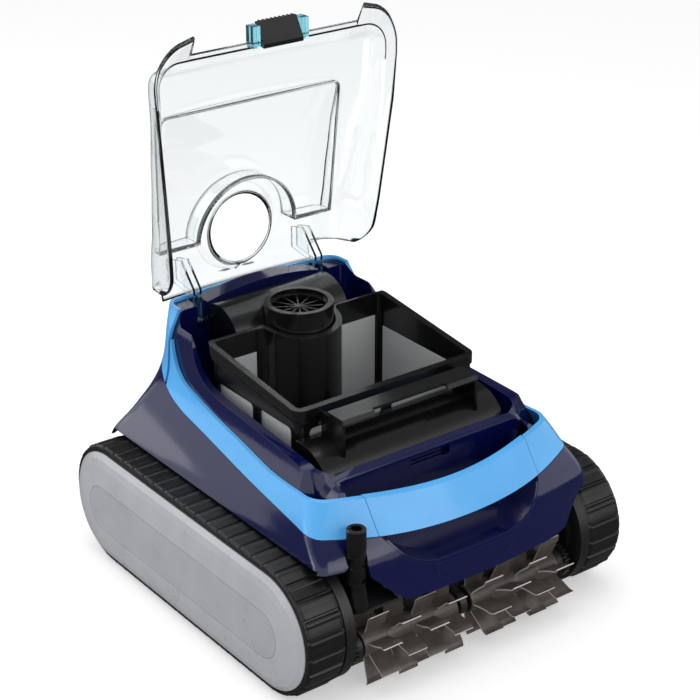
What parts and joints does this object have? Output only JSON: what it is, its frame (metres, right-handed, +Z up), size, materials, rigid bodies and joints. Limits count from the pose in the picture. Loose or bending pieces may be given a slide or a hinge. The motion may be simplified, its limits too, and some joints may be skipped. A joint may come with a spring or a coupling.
{
  "type": "tracked robotic pool cleaner",
  "caption": "Robotic pool cleaner on two tracks, with a clear hinged lid open over a black lift-out filter canister and a bladed brush across the front.",
  "frame": {"origin": "on the ground under the centre of the footprint, tracks and brush included", "axes": "+Z up, -Y forward (brush end), +X across; the lid stands open"},
  "size_m": [0.4184, 0.4485, 0.5796],
  "materials": {
    "clear_lid": "clear polycarbonate",
    "navy_gloss": "gloss",
    "blue_gloss": "gloss",
    "black_plastic": "satin",
    "cover_grey": "satin",
    "light_mesh": "fine mesh",
    "tread_rubber": "matt",
    "brush_rubber": "smoky, slightly see-through",
    "hull_plastic": "matt",
    "gear_plastic": "matt",
    "steel": "turned"
  },
  "bodies": {
    "hull_body": {"bay_tray": "hull_plastic", "body_shell": "navy_gloss", "brush_bearing": "hull_plastic", "cable_gland": "black_plastic", "control_box": "black_plastic", "front_cover": "navy_gloss", "front_handle": "blue_gloss", "gland_shelf": "hull_plastic", "handle_recess": "navy_gloss", "hinge_pins": "steel", "hull": "hull_plastic", "hull_flange": "hull_plastic", "inlet_duct": "hull_plastic", "left_accent_belt": "blue_gloss", "left_drive_motor": "steel", "left_front_axle": "steel", "left_rear_axle": "steel", "left_side_cover": "cover_grey", "left_side_frame": "hull_plastic", "left_side_inlay": "cover_grey", "left_track_belt": "tread_rubber", "motor_dome": "black_plastic", "outlet_grille": "black_plastic", "pump_motor": "steel", "pump_outlet": "black_plastic", "rear_band": "blue_gloss", "right_accent_belt": "blue_gloss", "right_drive_motor": "steel", "right_front_axle": "steel", "right_rear_axle": "steel", "right_side_cover": "cover_grey", "right_side_frame": "hull_plastic", "right_side_inlay": "cover_grey", "right_track_belt": "tread_rubber", "top_deck": "navy_gloss"},
    "lid_body": {"lid": "clear_lid", "latch_housing": "clear_lid"},
    "latch_body": {"lid_latch": "black_plastic"},
    "canister_body": {"canister_drum": "black_plastic", "canister_frame": "black_plastic", "canister_grip": "black_plastic", "front_mesh": "light_mesh", "left_rear_mesh": "light_mesh", "left_side_mesh": "light_mesh", "right_rear_mesh": "light_mesh", "right_side_mesh": "light_mesh"},
    "flap_body": {"inlet_flap": "black_plastic"},
    "impeller_body": {"impeller": "black_plastic"},
    "left_front_wheel_body": {"left_front_wheel": "gear_plastic", "left_drive_gear": "gear_plastic"},
    "left_rear_wheel_body": {"left_rear_wheel": "gear_plastic"},
    "left_brush_body": {"left_brush_core": "gear_plastic", "left_brush_blades": "brush_rubber", "left_brush_gear": "gear_plastic"},
    "right_front_wheel_body": {"right_front_wheel": "gear_plastic", "right_drive_gear": "gear_plastic"},
    "right_rear_wheel_body": {"right_rear_wheel": "gear_plastic"},
    "right_brush_body": {"right_brush_core": "gear_plastic", "right_brush_blades": "brush_rubber", "right_brush_gear": "gear_plastic"}
  },
  "joints": [
    {"name": "lid_hinge", "type": "hinge", "parent": "hull_body", "child": "lid_body", "pos_m": [0, 0.16275, 0.251], "axis": [-1, 0, 0], "range_deg": [-91, 0]},
    {"name": "lid_latch", "type": "hinge", "parent": "lid_body", "child": "latch_body", "pos_m": [0, 0.11607, 0.55636], "axis": [1, 0, 0], "range_deg": [0, 20]},
    {"name": "canister_lift", "type": "slide", "parent": "hull_body", "child": "canister_body", "axis": [0, 0, 1], "range_m": [0, 0.15]},
    {"name": "inlet_flap_hinge", "type": "hinge", "parent": "canister_body", "child": "flap_body", "pos_m": [0, -0.00825, 0.1175], "axis": [-1, 0, 0], "range_deg": [0, 60]},
    {"name": "impeller_spin", "type": "hinge", "parent": "hull_body", "child": "impeller_body", "pos_m": [0, 0.08445, 0.2], "axis": [0, 0, 1], "continuous": true},
    {"name": "left_front_wheel_spin", "type": "hinge", "parent": "hull_body", "child": "left_front_wheel_body", "pos_m": [-0.17, -0.13985, 0.0689], "axis": [1, 0, 0], "continuous": true},
    {"name": "left_rear_wheel_spin", "type": "hinge", "parent": "hull_body", "child": "left_rear_wheel_body", "pos_m": [-0.17, 0.15535, 0.0689], "axis": [1, 0, 0], "continuous": true},
    {"name": "left_brush_spin", "type": "hinge", "parent": "hull_body", "child": "left_brush_body", "pos_m": [-0.07, -0.18125, 0.044], "axis": [1, 0, 0], "continuous": true},
    {"name": "right_front_wheel_spin", "type": "hinge", "parent": "hull_body", "child": "right_front_wheel_body", "pos_m": [0.17, -0.13985, 0.0689], "axis": [1, 0, 0], "continuous": true},
    {"name": "right_rear_wheel_spin", "type": "hinge", "parent": "hull_body", "child": "right_rear_wheel_body", "pos_m": [0.17, 0.15535, 0.0689], "axis": [1, 0, 0], "continuous": true},
    {"name": "right_brush_spin", "type": "hinge", "parent": "hull_body", "child": "right_brush_body", "pos_m": [0.07, -0.18125, 0.044], "axis": [1, 0, 0], "continuous": true}
  ],
  "couplings": [
    {"joint": "left_rear_wheel_spin", "follows": "left_front_wheel_spin", "ratio": 1},
    {"joint": "left_brush_spin", "follows": "left_front_wheel_spin", "ratio": -2},
    {"joint": "right_rear_wheel_spin", "follows": "right_front_wheel_spin", "ratio": 1},
    {"joint": "right_brush_spin", "follows": "right_front_wheel_spin", "ratio": -2}
  ]
}
